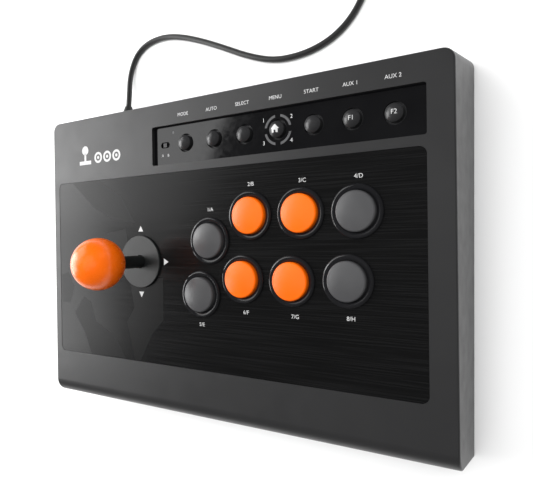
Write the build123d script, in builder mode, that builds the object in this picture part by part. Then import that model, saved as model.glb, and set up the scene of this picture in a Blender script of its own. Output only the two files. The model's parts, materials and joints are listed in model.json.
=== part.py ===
"""Arcade joystick panel: a wedge-shaped table-top housing with a ball-top lever, eight large push
buttons, a recessed strip of small controls and a USB lead.

Millimetres. +Z is up, +X is the player's right and +Y points away from the player. The origin is on
the table, under the middle of the housing. The face slopes down towards the player, so most pieces are
drawn on the FACE plane, whose origin is where the lever's axis crosses the face: (u, v) run along the
face to the right and to the rear, and heights are along its normal.
"""

import os
from math import cos, pi, radians, sin, sqrt, tan

from build123d import *

# Housing
WIDTH = 337.0
DEPTH = 252.0
SIDE_LEAN = 1.1
FRONT_LEAN = 5.0
REAR_LEAN = 14.9
FACE_TILT = 4.0
WALL = 2.6
FACE_THICKNESS = 3.0
SHELL_BOTTOM = 3.0
REAR_CORNER_R = 7.0
FRONT_ROLL_R = 12.0
EDGE_R = 1.2
BASE_THICKNESS = 3.0
BASE_GAP = 0.4
BASE_CORNER_R = 5.0
BASE_TOP = SHELL_BOTTOM + BASE_THICKNESS

# Cutters start this far outside the piece, or reach further than any of its sizes
CLEAR = 1.0
FAR = 80.0

# Face plane, through the lever's axis
LEVER_X = -65.0
LEVER_Y = -8.8
LEVER_Z = 56.0
FACE = Plane(
    origin=(LEVER_X, LEVER_Y, LEVER_Z),
    x_dir=(1, 0, 0),
    z_dir=(0, -sin(radians(FACE_TILT)), cos(radians(FACE_TILT))),
)

# Glossy panel round the lever and buttons: its middle on the face, and its size
PANEL_U, PANEL_V = 60.7, -5.6
PANEL_WIDTH, PANEL_DEPTH = 312.4, 144.4
PANEL_CORNER_R = 4.5
PANEL_GAP = 0.2
PANEL_POCKET = 1.0
PANEL_THICKNESS = 0.8
PANEL_TOP = PANEL_THICKNESS - PANEL_POCKET

# Recessed control strip
STRIP_U, STRIP_V = 115.2, 87.3
STRIP_WIDTH, STRIP_DEPTH = 203.6, 29.2
STRIP_CORNER_R = 1.5
STRIP_LIP = 3.0
STRIP_THICKNESS = 2.0
STRIP_TOP = -FACE_THICKNESS
STRIP_UNDER = STRIP_TOP - STRIP_THICKNESS

# Large push buttons: middles on the face, left to right and top row first
BUTTONS = [
    (66.6, 15.4),
    (100.5, 31.9),
    (138.2, 32.0),
    (175.9, 31.7),
    (58.4, -22.8),
    (93.9, -11.1),
    (131.3, -11.4),
    (169.6, -10.3),
]
BEZEL_R = 16.65
BEZEL_HEIGHT = 2.0
BARREL_R = 14.8
BARREL_BORE_R = 12.85
BARREL_DEPTH = 24.0
BUTTON_HOLE_R = 15.0
CAP_R = 12.5
CAP_EDGE = 4.4
CAP_EDGE_R = 1.5
CAP_CROWN = 5.8
CAP_SKIRT = 9.0
CAP_WALL = 1.6
CAP_STEM_R = 3.0
CAP_TRAVEL = 3.0
SWITCH_GAP = 0.2

# Small buttons on the strip, evenly spaced
SMALL_FIRST_U = 43.7
SMALL_PITCH = 25.8
SMALL_V = 87.6
SMALL_NAMES = ["macro", "turbo", "select", "home", "start", "aux_1", "aux_2"]
SMALL_R = 5.4
SMALL_HOLE_R = 6.8
SMALL_RISE = 2.0
SMALL_CROWN = 4.6
SMALL_FLANGE_R = 7.9
SMALL_FLANGE_TOP = STRIP_UNDER - 0.2
SMALL_FLANGE_UNDER = SMALL_FLANGE_TOP - 1.0
SMALL_TRAVEL = 1.0
HOME_INDEX = 3

# Control board behind the strip
TACT_TOP = SMALL_FLANGE_UNDER - SMALL_TRAVEL - 0.3
BOARD_TOP = TACT_TOP - 3.5
BOARD_THICKNESS = 1.6

# Lever
PIVOT_DEPTH = 13.0
SHAFT_R = 3.9
SLEEVE_R = 4.75
SLEEVE_END = -6.5
BALL_R = 18.4
BALL_HEIGHT = 41.4
BALL_FLAT = 24.8
SHAFT_END = -41.5
PLATE_THICKNESS = 1.6
PLATE_UNDER = -FACE_THICKNESS - PLATE_THICKNESS
LEVER_BODY_SIZE = 62.0
LEVER_CORNER_R = 2.5
MOUNT_PLATE_SIZE = (80.0, 74.0)
EARS_SIZE = (78.0, 44.0)
WASHER_BAY_R = 18.2
WASHER_BAY_FLOOR = -6.8
SPRING_BAY_R = 14.0
LEVER_BODY_END = -27.0
RACE_R = 10.0
RACE_HALF = 5.0
SEAT_R = 10.15
SEAT_HALF = 6.0
PIVOT_BALL_R = 6.9
LEVER_HOLE_R = 12.0
WASHER_R = 20.2
WASHER_THICKNESS = 1.4
WASHER_SLACK = 0.45
SLIDE_FIT = 0.05
LEVER_BOLTS = [(u, v) for u in (-35, 35) for v in (-15, 15)]
BOLT_R = 2.0
BOLT_HOLE_R = 2.2
BOLT_HEAD_R = 3.7
BOLT_SEAT_R = 4.2
BOLT_HEAD_DEPTH = 3.0
BOLT_END = -11.0
EAR_THICKNESS = 2.4
GATE_SCREWS = [(u, v) for u in (-26, 26) for v in (-26, 26)]
LEVER_PCB_TOP = LEVER_BODY_END - 0.2
LEVER_PCB_UNDER = LEVER_PCB_TOP - 1.6
GATE_TOP = -37.6
GATE_THICKNESS = 3.4
GATE_SIZE = 60.0
GATE_OPENING = 16.4
GATE_POST_R = 3.5

# Fixings of the base
BOSS_PLACES = [(x, y) for x in (-157, 0, 157) for y in (-113, 108)]
BOSS_R = 4.0
BOSS_BORE_DEPTH = 14.0
SCREW_R = 1.5
SCREW_SLACK = 0.1
SCREW_LENGTH = 13.0
SCREW_HEAD_R = 2.9
SCREW_HEAD_HEIGHT = 1.5
SCREW_RECESS_R = 3.2
FOOT_PLACES = [(x, y) for x in (-142, 142) for y in (-100, 100)]
FOOT_R = 9.0

# Main board over the base
MAIN_X, MAIN_Y = -108.0, 76.0
MAIN_WIDTH, MAIN_DEPTH = 74.0, 44.0
MAIN_FIXING_SPACING = (64.0, 34.0)
MAIN_STANDOFF = 4.0
MAIN_SCREW_R = 1.25
MAIN_CORNER_R = 2.0
LEAD_SOCKET_Y = 96.0
LEAD_SOCKET_SIZE = (12.0, 6.0)
LEAD_SOCKET_HEIGHT = 6.0
MAIN_BOTTOM = BASE_TOP + MAIN_STANDOFF

# USB lead
CORD_D = 4.8
CORD_X = -131.0
CORD_Z = 12.0
CORD_HOLE_R = 5.0
RELIEF_COLLAR = 125.3
RELIEF_END = 136.0
COIL_X, COIL_Y = 62.0, 237.0
COIL_INNER_R = 17.2
COIL_OUTER_R = 40.0
TIE_THICKNESS = 0.8
COIL_BOTTOM = TIE_THICKNESS
COIL_HEIGHT = 2 * CORD_D
PLUG_START_X = 34.0
PLUG_Y = 275.6
PLUG_HEIGHT = 7.8
PLUG_Z = PLUG_HEIGHT / 2

# The lead from the strain relief to its coil, chosen by hand
CORD_ROUTE = [
    (-131.0, 136.0, 12.0),
    (-131.5, 145.0, 11.2),
    (-133.9, 154.4, 8.9),
    (-137.0, 164.2, 5.8),
    (-138.0, 175.0, 3.2),
    (-134.9, 185.6, 2.4),
    (-127.2, 194.0, 2.4),
    (-115.0, 199.0, 2.4),
    (-98.0, 199.9, 2.4),
    (-79.0, 195.9, 2.4),
    (-56.0, 187.2, 2.4),
    (-31.0, 175.6, 2.4),
    (-5.5, 162.8, 2.4),
    (20.0, 153.9, 2.4),
    (45.0, 153.8, 2.4),
    (66.5, 159.6, 2.4),
    (82.5, 171.0, 2.4),
    (92.8, 186.5, 2.4),
    (98.0, 203.0, 2.5),
    (99.8, 220.0, 3.0),
    (98.6, 237.0, 3.2),
]
# The short end from the coil to the plug
TAIL_ROUTE = [
    (62.0, 274.6, 8.0),
    (52.5, 274.9, 7.6),
    (43.0, 275.4, 4.6),
    (34.0, 275.6, 3.9),
]

os.makedirs("parts", exist_ok=True)


def finish(builder, name):
    """Labels a finished piece and writes its STEP file."""
    builder.part.label = name
    export_step(builder.part, f"parts/{name}.step")


def section_at(u, v):
    """The plane through the face's normal at (u, v): its x is a radius, and its y the height."""
    place = FACE.from_local_coords(Vector(u, v, 0))
    return Plane(origin=place, x_dir=(1, 0, 0), z_dir=-FACE.y_dir)


def turned(outline, u=0.0, v=0.0):
    """A piece turned about the face's normal at (u, v), from its closed (radius, height) outline."""
    section = section_at(u, v)
    with BuildPart() as piece:
        with BuildSketch(section):
            with BuildLine():
                Polyline(*outline, close=True)
            make_face()
        revolve(axis=Axis(section.origin, section.y_dir))
    return piece.part


def ring(inner_r, outer_r, top, bottom, u=0.0, v=0.0):
    """A plain ring, or a disc if inner_r is 0, between two heights over the face."""
    return turned([(inner_r, top), (outer_r, top), (outer_r, bottom), (inner_r, bottom)], u, v)


def face_block(width, depth, top, bottom, u=0.0, v=0.0):
    """A square-cut block between two heights over the face."""
    with BuildPart() as block:
        with BuildSketch(FACE.offset(top)):
            with Locations((u, v)):
                Rectangle(width, depth)
        extrude(amount=bottom - top)
    return block.part


def dome_height(radius, rise, crown, at):
    """Height at radius `at` of the round dome that has its rim at (radius, rise) and its top at crown."""
    ball_r = (radius**2 + (crown - rise) ** 2) / (2 * (crown - rise))
    return crown - ball_r + sqrt(ball_r**2 - at**2)


def domed(radius, foot, rise, crown, u, v):
    """A button's head: a cylinder from foot up to rise, with a shallow dome up to crown."""
    section = section_at(u, v)
    middle = radius / 2
    with BuildPart() as head:
        with BuildSketch(section):
            with BuildLine():
                Polyline((0, crown), (0, foot), (radius, foot), (radius, rise))
                ThreePointArc(
                    (radius, rise),
                    (middle, dome_height(radius, rise, crown, middle)),
                    (0, crown),
                )
            make_face()
        revolve(axis=Axis(section.origin, section.y_dir))
    return head.part


def walls_at(height, inset):
    """Y of the front and rear walls at a height over the table, both drawn in by inset."""
    rise = height - SHELL_BOTTOM
    front_inset = inset / cos(radians(FRONT_LEAN)) + rise * tan(radians(FRONT_LEAN))
    rear_inset = inset / cos(radians(REAR_LEAN)) + rise * tan(radians(REAR_LEAN))
    return front_inset - DEPTH / 2, DEPTH / 2 - rear_inset


def housing_form(inset, drop):
    """The wedge with leaning walls and a rolled front, walls drawn in by inset and face lowered by drop."""
    slope = tan(radians(FACE_TILT))
    front_lean = tan(radians(FRONT_LEAN))
    rear_lean = tan(radians(REAR_LEAN))
    front, rear = walls_at(SHELL_BOTTOM, inset)
    middle_z = LEVER_Z - LEVER_Y * slope - drop / cos(radians(FACE_TILT))
    front_z = (middle_z + slope * (front - SHELL_BOTTOM * front_lean)) / (1 - slope * front_lean)
    rear_z = (middle_z + slope * (rear + SHELL_BOTTOM * rear_lean)) / (1 + slope * rear_lean)
    front_edge = (walls_at(front_z, inset)[0], front_z)
    rear_edge = (walls_at(rear_z, inset)[1], rear_z)
    side = WIDTH / 2 - inset
    upper_side = side - FAR * tan(radians(SIDE_LEAN))
    with BuildPart() as form:
        with BuildSketch(Plane.YZ.offset(-WIDTH)):
            with BuildLine():
                Polyline((front, SHELL_BOTTOM), front_edge, rear_edge, (rear, SHELL_BOTTOM), close=True)
            make_face()
            fillet(vertices().sort_by_distance(front_edge)[0], FRONT_ROLL_R - inset)
        extrude(amount=2 * WIDTH)
        with BuildSketch(Plane.XZ.offset(-DEPTH)):
            with BuildLine():
                Polyline((-side, SHELL_BOTTOM), (-upper_side, SHELL_BOTTOM + FAR))
                Polyline((-upper_side, SHELL_BOTTOM + FAR), (upper_side, SHELL_BOTTOM + FAR))
                Polyline((upper_side, SHELL_BOTTOM + FAR), (side, SHELL_BOTTOM), (-side, SHELL_BOTTOM))
            make_face()
        extrude(amount=2 * DEPTH, mode=Mode.INTERSECT)
        rear_corners = form.edges().filter_by(
            lambda edge: edge.center().Y > rear_edge[0] and abs(edge.center().X) > upper_side
        )
        fillet(rear_corners, REAR_CORNER_R - inset)
    return form.part


def is_sharp(edge):
    """Whether a housing edge is to be softened: not one at its bottom, or where a round begins."""
    middle = edge.center()
    at_bottom = middle.Z < SHELL_BOTTOM + CLEAR
    at_roll = middle.Y < 0 and abs(middle.X) < CLEAR
    at_rear_corner = middle.Y > walls_at(LEVER_Z, 0)[1]
    return not (at_bottom or at_roll or at_rear_corner)


# ---------------------------------------------------------------- housing

with BuildPart() as outer_form:
    add(housing_form(0.0, 0.0))
    fillet(outer_form.edges().filter_by(is_sharp), EDGE_R)
inner_form = housing_form(WALL, FACE_THICKNESS)

with BuildPart() as bosses:
    with BuildSketch(Plane.XY.offset(BASE_TOP)):
        with Locations(*BOSS_PLACES):
            Circle(BOSS_R)
    extrude(amount=FAR)
    add(outer_form.part, mode=Mode.INTERSECT)
    with BuildSketch(Plane.XY.offset(BASE_TOP)):
        with Locations(*BOSS_PLACES):
            Circle(SCREW_R + SCREW_SLACK)
    extrude(amount=BOSS_BORE_DEPTH, mode=Mode.SUBTRACT)

with BuildPart() as top_shell:
    add(outer_form.part)
    add(inner_form, mode=Mode.SUBTRACT)
    add(bosses.part)
    with BuildSketch(FACE.offset(CLEAR)):
        with Locations((PANEL_U, PANEL_V)):
            RectangleRounded(PANEL_WIDTH, PANEL_DEPTH, PANEL_CORNER_R)
    extrude(amount=-CLEAR - PANEL_POCKET, mode=Mode.SUBTRACT)
    with BuildSketch(FACE.offset(CLEAR)):
        with Locations((STRIP_U, STRIP_V)):
            RectangleRounded(STRIP_WIDTH, STRIP_DEPTH, STRIP_CORNER_R)
        Circle(LEVER_HOLE_R)
        with Locations(*BUTTONS):
            Circle(BUTTON_HOLE_R)
    extrude(amount=-2 * CLEAR - FACE_THICKNESS, mode=Mode.SUBTRACT)
    countersink = [
        (0, 0),
        (BOLT_SEAT_R, 0),
        (BOLT_SEAT_R, -PANEL_POCKET),
        (BOLT_HOLE_R, -BOLT_HEAD_DEPTH),
        (BOLT_HOLE_R, -FACE_THICKNESS - CLEAR),
        (0, -FACE_THICKNESS - CLEAR),
    ]
    for bolt_u, bolt_v in LEVER_BOLTS:
        add(turned(countersink, bolt_u, bolt_v), mode=Mode.SUBTRACT)
    with BuildSketch(Plane.XZ.offset(-DEPTH / 2 - CLEAR)):
        with Locations((CORD_X, CORD_Z)):
            Circle(CORD_HOLE_R)
    extrude(amount=2 * CORD_HOLE_R, mode=Mode.SUBTRACT)
finish(top_shell, "top_shell")

with BuildPart() as art_panel:
    with BuildSketch(FACE.offset(-PANEL_POCKET)):
        with Locations((PANEL_U, PANEL_V)):
            RectangleRounded(
                PANEL_WIDTH - 2 * PANEL_GAP,
                PANEL_DEPTH - 2 * PANEL_GAP,
                PANEL_CORNER_R - PANEL_GAP,
            )
        Circle(LEVER_HOLE_R, mode=Mode.SUBTRACT)
        with Locations(*BUTTONS):
            Circle(BUTTON_HOLE_R, mode=Mode.SUBTRACT)
    extrude(amount=PANEL_THICKNESS)
finish(art_panel, "art_panel")

base_front, base_rear = walls_at(BASE_TOP, WALL + BASE_GAP)
with BuildPart() as base_plate:
    with BuildSketch(Plane.XY.offset(SHELL_BOTTOM)):
        with Locations((0, (base_front + base_rear) / 2)):
            RectangleRounded(WIDTH - 2 * (WALL + BASE_GAP), base_rear - base_front, BASE_CORNER_R)
        with Locations(*BOSS_PLACES):
            Circle(SCREW_R + 2 * SCREW_SLACK, mode=Mode.SUBTRACT)
    extrude(amount=BASE_THICKNESS)
    with BuildSketch(Plane.XY.offset(SHELL_BOTTOM)):
        with Locations(*BOSS_PLACES):
            Circle(SCREW_RECESS_R)
    extrude(amount=SCREW_HEAD_HEIGHT + SCREW_SLACK, mode=Mode.SUBTRACT)
    with BuildSketch(Plane.XY.offset(BASE_TOP)):
        with Locations((MAIN_X, MAIN_Y)):
            with GridLocations(*MAIN_FIXING_SPACING, 2, 2):
                Circle(2 * SCREW_R)
                Circle(MAIN_SCREW_R + SLIDE_FIT, mode=Mode.SUBTRACT)
    extrude(amount=MAIN_STANDOFF)
finish(base_plate, "base_plate")

with BuildPart() as rubber_feet:
    with BuildSketch(Plane.XY):
        with Locations(*FOOT_PLACES):
            Circle(FOOT_R)
    extrude(amount=SHELL_BOTTOM)
    chamfer(rubber_feet.edges().group_by(Axis.Z)[0], 0.2 * SHELL_BOTTOM)
finish(rubber_feet, "rubber_feet")

SLOT_LENGTH, SLOT_WIDTH, SLOT_DEPTH = 3.6, 0.8, 0.9
with BuildPart() as base_screws:
    with BuildSketch(Plane.XY.offset(SHELL_BOTTOM + SCREW_SLACK)):
        with Locations(*BOSS_PLACES):
            Circle(SCREW_HEAD_R)
    extrude(amount=SCREW_HEAD_HEIGHT)
    with BuildSketch(Plane.XY.offset(SHELL_BOTTOM + SCREW_SLACK + SCREW_HEAD_HEIGHT)):
        with Locations(*BOSS_PLACES):
            Circle(SCREW_R)
    extrude(amount=SCREW_LENGTH)
    with BuildSketch(Plane.XY.offset(SHELL_BOTTOM + SCREW_SLACK)):
        with Locations(*BOSS_PLACES):
            Rectangle(SLOT_LENGTH, SLOT_WIDTH)
            Rectangle(SLOT_WIDTH, SLOT_LENGTH)
    extrude(amount=SLOT_DEPTH, mode=Mode.SUBTRACT)
finish(base_screws, "base_screws")

# ---------------------------------------------------------------- lever

with BuildPart() as lever_mount_plate:
    with BuildSketch(FACE.offset(-FACE_THICKNESS)):
        RectangleRounded(*MOUNT_PLATE_SIZE, LEVER_CORNER_R)
        Circle(LEVER_HOLE_R, mode=Mode.SUBTRACT)
        with Locations(*LEVER_BOLTS):
            Circle(BOLT_HOLE_R, mode=Mode.SUBTRACT)
    extrude(amount=-PLATE_THICKNESS)
finish(lever_mount_plate, "lever_mount_plate")

seat_mouth = sqrt(SEAT_R**2 - SEAT_HALF**2)
seat_top = -PIVOT_DEPTH + SEAT_HALF
seat_under = -PIVOT_DEPTH - SEAT_HALF
bay_top = PLATE_UNDER + CLEAR / 2
bay_under = LEVER_BODY_END - CLEAR
lever_section = section_at(0, 0)
lever_axis = Axis(lever_section.origin, lever_section.y_dir)

with BuildPart() as lever_body:
    with BuildSketch(FACE.offset(PLATE_UNDER)):
        RectangleRounded(*EARS_SIZE, LEVER_CORNER_R)
        with Locations(*LEVER_BOLTS):
            Circle(BOLT_HOLE_R, mode=Mode.SUBTRACT)
    extrude(amount=-EAR_THICKNESS)
    with BuildSketch(FACE.offset(PLATE_UNDER)):
        RectangleRounded(LEVER_BODY_SIZE, LEVER_BODY_SIZE, LEVER_CORNER_R)
    extrude(amount=LEVER_BODY_END - PLATE_UNDER)
    with BuildSketch(lever_section):
        with BuildLine():
            Polyline((0, bay_top), (WASHER_BAY_R, bay_top), (WASHER_BAY_R, WASHER_BAY_FLOOR))
            Line((WASHER_BAY_R, WASHER_BAY_FLOOR), (seat_mouth, WASHER_BAY_FLOOR))
            Line((seat_mouth, WASHER_BAY_FLOOR), (seat_mouth, seat_top))
            ThreePointArc((seat_mouth, seat_top), (SEAT_R, -PIVOT_DEPTH), (seat_mouth, seat_under))
            Polyline((seat_mouth, seat_under), (SPRING_BAY_R, seat_under), (SPRING_BAY_R, bay_under))
            Polyline((SPRING_BAY_R, bay_under), (0, bay_under), (0, bay_top))
        make_face()
    revolve(axis=lever_axis, mode=Mode.SUBTRACT)
    with BuildSketch(FACE.offset(LEVER_BODY_END)):
        with Locations(*GATE_SCREWS):
            Circle(SCREW_R + SCREW_SLACK)
    extrude(amount=4 * SCREW_R, mode=Mode.SUBTRACT)
finish(lever_body, "lever_body")

BOLT_TOP = -1.2
bolt_outline = [
    (0, BOLT_TOP),
    (BOLT_HEAD_R, BOLT_TOP),
    (BOLT_R, -BOLT_HEAD_DEPTH),
    (BOLT_R, BOLT_END),
    (0, BOLT_END),
]
with BuildPart() as lever_bolts:
    for bolt_u, bolt_v in LEVER_BOLTS:
        add(turned(bolt_outline, bolt_u, bolt_v))
finish(lever_bolts, "lever_bolts")

NUT_R, NUT_HEIGHT = 3.9, 3.2
with BuildPart() as lever_nuts:
    with BuildSketch(FACE.offset(PLATE_UNDER - EAR_THICKNESS)):
        with Locations(*LEVER_BOLTS):
            RegularPolygon(NUT_R, 6)
            Circle(BOLT_R + SLIDE_FIT, mode=Mode.SUBTRACT)
    extrude(amount=-NUT_HEIGHT)
finish(lever_nuts, "lever_nuts")

LEVER_PCB_HOLE_R = 13.5
with BuildPart() as lever_pcb:
    with BuildSketch(FACE.offset(LEVER_PCB_TOP)):
        RectangleRounded(LEVER_BODY_SIZE, LEVER_BODY_SIZE, LEVER_CORNER_R)
        Circle(LEVER_PCB_HOLE_R, mode=Mode.SUBTRACT)
        with Locations(*GATE_SCREWS):
            Circle(SCREW_R + SCREW_SLACK, mode=Mode.SUBTRACT)
    extrude(amount=LEVER_PCB_UNDER - LEVER_PCB_TOP)
finish(lever_pcb, "lever_pcb")

SWITCH_INNER, SWITCH_OUTER = 12.2, 18.0
SWITCH_LENGTH, SWITCH_HEIGHT = 12.8, 6.4
PLUNGER_INNER, PLUNGER_LENGTH, PLUNGER_HEIGHT = 11.0, 3.0, 1.6
with BuildPart() as lever_switches:
    with BuildSketch(FACE.offset(LEVER_PCB_UNDER)):
        with PolarLocations((SWITCH_INNER + SWITCH_OUTER) / 2, 4):
            Rectangle(SWITCH_OUTER - SWITCH_INNER, SWITCH_LENGTH)
    extrude(amount=-SWITCH_HEIGHT)
    with BuildSketch(FACE.offset(LEVER_PCB_UNDER - SWITCH_HEIGHT + 1.5 * PLUNGER_HEIGHT)):
        with PolarLocations((SWITCH_INNER + PLUNGER_INNER) / 2, 4):
            Rectangle(SWITCH_INNER - PLUNGER_INNER, PLUNGER_LENGTH)
    extrude(amount=-PLUNGER_HEIGHT)
finish(lever_switches, "lever_switches")

CONNECTOR_V = -25.5
CONNECTOR_WIDTH, CONNECTOR_DEPTH, CONNECTOR_HEIGHT = 14.0, 6.0, 5.5
CONNECTOR_WALL = 1.2
connector_end = LEVER_PCB_UNDER - CONNECTOR_HEIGHT
with BuildPart() as lever_connector:
    add(face_block(CONNECTOR_WIDTH, CONNECTOR_DEPTH, LEVER_PCB_UNDER, connector_end, 0, CONNECTOR_V))
    add(
        face_block(
            CONNECTOR_WIDTH - 2 * CONNECTOR_WALL,
            CONNECTOR_DEPTH - 2 * CONNECTOR_WALL,
            LEVER_PCB_UNDER - CONNECTOR_WALL,
            connector_end - CLEAR,
            0,
            CONNECTOR_V,
        ),
        mode=Mode.SUBTRACT,
    )
finish(lever_connector, "lever_connector")

with BuildPart() as restrictor_gate:
    with BuildSketch(FACE.offset(GATE_TOP)):
        RectangleRounded(GATE_SIZE, GATE_SIZE, LEVER_CORNER_R)
        RectangleRounded(GATE_OPENING, GATE_OPENING, LEVER_CORNER_R, mode=Mode.SUBTRACT)
    extrude(amount=-GATE_THICKNESS)
    with BuildSketch(FACE.offset(LEVER_PCB_UNDER)):
        with Locations(*GATE_SCREWS):
            Circle(GATE_POST_R)
    extrude(amount=GATE_TOP - LEVER_PCB_UNDER)
    with BuildSketch(FACE.offset(LEVER_PCB_UNDER)):
        with Locations(*GATE_SCREWS):
            Circle(SCREW_R + SCREW_SLACK)
    extrude(amount=GATE_TOP - GATE_THICKNESS - LEVER_PCB_UNDER, mode=Mode.SUBTRACT)
finish(restrictor_gate, "restrictor_gate")

gate_under = GATE_TOP - GATE_THICKNESS
GATE_SCREW_TOP = -22.0
gate_screw_outline = [
    (0, GATE_SCREW_TOP),
    (SCREW_R, GATE_SCREW_TOP),
    (SCREW_R, gate_under),
    (SCREW_HEAD_R, gate_under),
    (0.8 * SCREW_HEAD_R, gate_under - SCREW_HEAD_HEIGHT),
    (0, gate_under - SCREW_HEAD_HEIGHT),
]
with BuildPart() as gate_screws:
    for screw_u, screw_v in GATE_SCREWS:
        add(turned(gate_screw_outline, screw_u, screw_v))
finish(gate_screws, "gate_screws")

race_rim = sqrt(RACE_R**2 - RACE_HALF**2)
race_bore = PIVOT_BALL_R + SEAT_R - RACE_R
race_bore_rim = sqrt(race_bore**2 - RACE_HALF**2)
with BuildPart() as pivot_race:
    with BuildSketch(lever_section):
        race_top, race_under = -PIVOT_DEPTH + RACE_HALF, -PIVOT_DEPTH - RACE_HALF
        with BuildLine():
            ThreePointArc((race_rim, race_top), (RACE_R, -PIVOT_DEPTH), (race_rim, race_under))
            Line((race_rim, race_under), (race_bore_rim, race_under))
            ThreePointArc(
                (race_bore_rim, race_under),
                (race_bore, -PIVOT_DEPTH),
                (race_bore_rim, race_top),
            )
            Line((race_bore_rim, race_top), (race_rim, race_top))
        make_face()
    revolve(axis=lever_axis)
finish(pivot_race, "pivot_race")

PIVOT_BALL_HALF = 5.5
ball_rim = sqrt(PIVOT_BALL_R**2 - PIVOT_BALL_HALF**2)
with BuildPart() as pivot_ball:
    with BuildSketch(lever_section):
        ball_upper, ball_under = -PIVOT_DEPTH + PIVOT_BALL_HALF, -PIVOT_DEPTH - PIVOT_BALL_HALF
        bore = SHAFT_R + SLIDE_FIT
        with BuildLine():
            ThreePointArc(
                (ball_rim, ball_upper),
                (PIVOT_BALL_R, -PIVOT_DEPTH),
                (ball_rim, ball_under),
            )
            Polyline((ball_rim, ball_under), (bore, ball_under), (bore, ball_upper))
            Line((bore, ball_upper), (ball_rim, ball_upper))
        make_face()
    revolve(axis=lever_axis)
finish(pivot_ball, "pivot_ball")

THREAD_R = 3.0
thread_end = BALL_HEIGHT - CLEAR
CLIP_GROOVE_R, CLIP_GROOVE_TOP, CLIP_GROOVE_HEIGHT = 3.3, -35.0, 1.0
TIP_CHAMFER = 0.5
shaft_outline = [
    (0, thread_end),
    (THREAD_R, thread_end),
    (THREAD_R, BALL_FLAT),
    (SHAFT_R, BALL_FLAT),
    (SHAFT_R, CLIP_GROOVE_TOP),
    (CLIP_GROOVE_R, CLIP_GROOVE_TOP),
    (CLIP_GROOVE_R, CLIP_GROOVE_TOP - CLIP_GROOVE_HEIGHT),
    (SHAFT_R, CLIP_GROOVE_TOP - CLIP_GROOVE_HEIGHT),
    (SHAFT_R, SHAFT_END + TIP_CHAMFER),
    (SHAFT_R - TIP_CHAMFER, SHAFT_END),
    (0, SHAFT_END),
]
with BuildPart() as lever_shaft:
    add(turned(shaft_outline))
finish(lever_shaft, "lever_shaft")

with BuildPart() as ball_top:
    with BuildSketch(lever_section):
        flat_r = sqrt(BALL_R**2 - (BALL_HEIGHT - BALL_FLAT) ** 2)
        top = BALL_HEIGHT + BALL_R
        insert_r, insert_end = THREAD_R + SLIDE_FIT, thread_end + SLIDE_FIT
        with BuildLine():
            ThreePointArc((flat_r, BALL_FLAT), (BALL_R, BALL_HEIGHT), (0, top))
            Polyline((0, top), (0, insert_end), (insert_r, insert_end))
            Polyline((insert_r, insert_end), (insert_r, BALL_FLAT), (flat_r, BALL_FLAT))
        make_face()
    revolve(axis=lever_axis)
finish(ball_top, "ball_top")

with BuildPart() as shaft_sleeve:
    add(ring(SHAFT_R + SLIDE_FIT, SLEEVE_R, BALL_FLAT - 2 * SLIDE_FIT, SLEEVE_END))
finish(shaft_sleeve, "shaft_sleeve")

SPRING_R, SPRING_WIRE_R = 4.95, 0.5
SPRING_PITCH, SPRING_LENGTH = 1.3, 4.1
SPRING_SEAT_R, SPRING_SEAT_TOP, SPRING_SEAT_THICKNESS = 5.8, -20.4, 1.0
spring_under = SPRING_SEAT_TOP - SPRING_SEAT_THICKNESS - SPRING_LENGTH - 1.4 * SPRING_WIRE_R
with BuildPart() as spring_seat:
    seat_bottom = SPRING_SEAT_TOP - SPRING_SEAT_THICKNESS
    add(ring(SHAFT_R + SLIDE_FIT, SPRING_SEAT_R, SPRING_SEAT_TOP, seat_bottom))
finish(spring_seat, "spring_seat")

with BuildPart() as lever_spring:
    with BuildLine() as spring_line:
        Helix(
            pitch=SPRING_PITCH,
            height=SPRING_LENGTH,
            radius=SPRING_R,
            center=FACE.offset(spring_under).origin,
            direction=FACE.z_dir,
        )
    with BuildSketch(Plane(origin=spring_line.wires()[0] @ 0, z_dir=spring_line.wires()[0] % 0)):
        Circle(SPRING_WIRE_R)
    sweep(path=spring_line.wires()[0], is_frenet=True)
finish(lever_spring, "lever_spring")

ACTUATOR_R, ACTUATOR_TOP = 7.0, -26.8
ACTUATOR_CHAMFER = 0.3
actuator_end = CLIP_GROOVE_TOP + 2 * SLIDE_FIT
with BuildPart() as lever_actuator:
    add(ring(SHAFT_R + SLIDE_FIT, ACTUATOR_R, ACTUATOR_TOP, actuator_end))
    chamfer(lever_actuator.edges().filter_by(GeomType.CIRCLE).sort_by(Axis.Z)[:1], ACTUATOR_CHAMFER)
finish(lever_actuator, "lever_actuator")

CLIP_R, CLIP_MOUTH, CLIP_THICKNESS = 6.0, 4.6, 0.7
with BuildPart() as lever_e_clip:
    with BuildSketch(FACE.offset(CLIP_GROOVE_TOP - (CLIP_GROOVE_HEIGHT - CLIP_THICKNESS) / 2)):
        Circle(CLIP_R)
        Circle(CLIP_GROOVE_R + SLIDE_FIT, mode=Mode.SUBTRACT)
        with Locations((CLIP_R, 0)):
            Rectangle(CLIP_R + 2 * CLEAR, CLIP_MOUTH, mode=Mode.SUBTRACT)
    extrude(amount=-CLIP_THICKNESS)
finish(lever_e_clip, "lever_e_clip")

INNER_WASHER_BORE_R, INNER_WASHER_R = 6.6, 15.5
INNER_WASHER_TOP, INNER_WASHER_UNDER = -5.2, -6.2
with BuildPart() as inner_dust_washer:
    add(ring(INNER_WASHER_BORE_R, INNER_WASHER_R, INNER_WASHER_TOP, INNER_WASHER_UNDER))
finish(inner_dust_washer, "inner_dust_washer")

WASHER_CHAMFER = 0.4
washer_bore = SLEEVE_R + WASHER_SLACK
washer_outline = [
    (washer_bore, 0),
    (WASHER_R, 0),
    (WASHER_R, WASHER_THICKNESS - WASHER_CHAMFER),
    (WASHER_R - WASHER_CHAMFER, WASHER_THICKNESS),
    (washer_bore, WASHER_THICKNESS),
]
with BuildPart() as dust_washer:
    add(turned(washer_outline))
finish(dust_washer, "dust_washer")

# ---------------------------------------------------------------- large push buttons

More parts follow.
